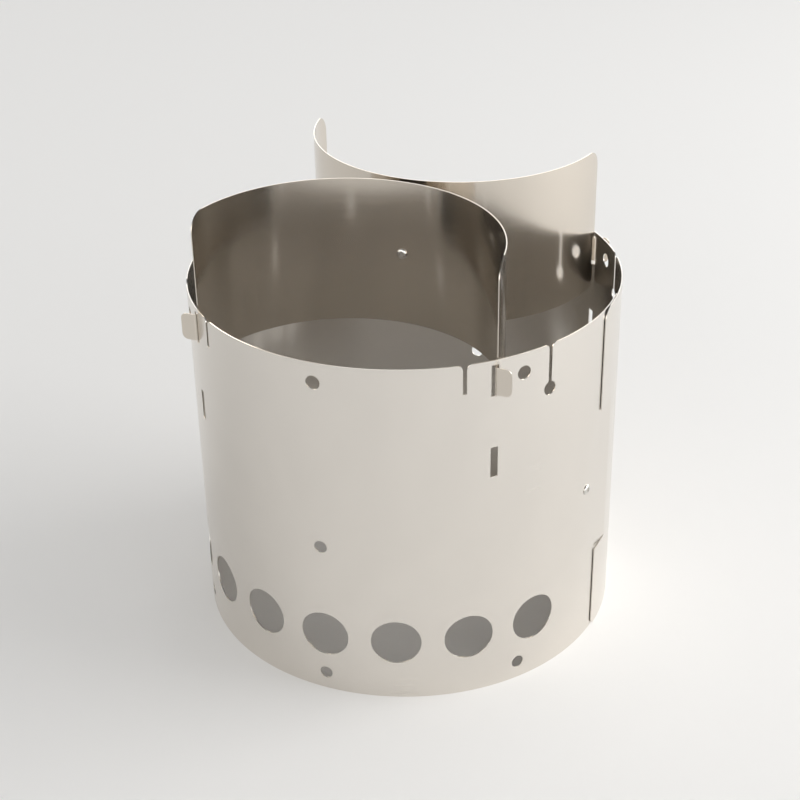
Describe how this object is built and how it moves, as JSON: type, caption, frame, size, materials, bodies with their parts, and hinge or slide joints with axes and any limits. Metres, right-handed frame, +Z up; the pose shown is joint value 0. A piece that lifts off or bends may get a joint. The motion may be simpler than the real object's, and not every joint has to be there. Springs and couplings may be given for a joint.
{
  "type": "twig stove",
  "caption": "Round knock-down twig stove: a ring of two interlocked rolled sheet panels with air holes, carrying two half-round pot supports back to back",
  "frame": {"origin": "centre of the ring at the level of its lower edge", "axes": "+Z up; -Y towards the middle of the front body panel; the two pot supports stand back to back across the Y axis"},
  "size_m": [0.2168, 0.216, 0.2313],
  "materials": {
    "body_sheet": "satin cold-rolled stainless",
    "support_sheet": "bright cold-rolled stainless",
    "rivet_steel": "bright stainless",
    "mandrel_steel": "snapped steel",
    "washer_steel": "turned stainless"
  },
  "bodies": {
    "front_half": {"front_body_panel": "body_sheet", "front_pot_support": "support_sheet", "front_seam_rivet": "rivet_steel", "front_seam_mandrel": "mandrel_steel", "front_seam_collar": "washer_steel", "front_seam_washer": "washer_steel", "front_support_rivet": "rivet_steel", "front_support_mandrel": "mandrel_steel", "front_support_washer": "washer_steel"},
    "rear_half": {"rear_body_panel": "body_sheet", "rear_pot_support": "support_sheet", "rear_seam_rivet": "rivet_steel", "rear_seam_mandrel": "mandrel_steel", "rear_seam_collar": "washer_steel", "rear_seam_washer": "washer_steel", "rear_support_rivet": "rivet_steel", "rear_support_mandrel": "mandrel_steel", "rear_support_washer": "washer_steel"}
  },
  "joints": [
    {"name": "halves_slide", "type": "slide", "parent": "front_half", "child": "rear_half", "axis": [0.1011, 0.9949, 0], "range_m": [0, 0.06]}
  ]
}
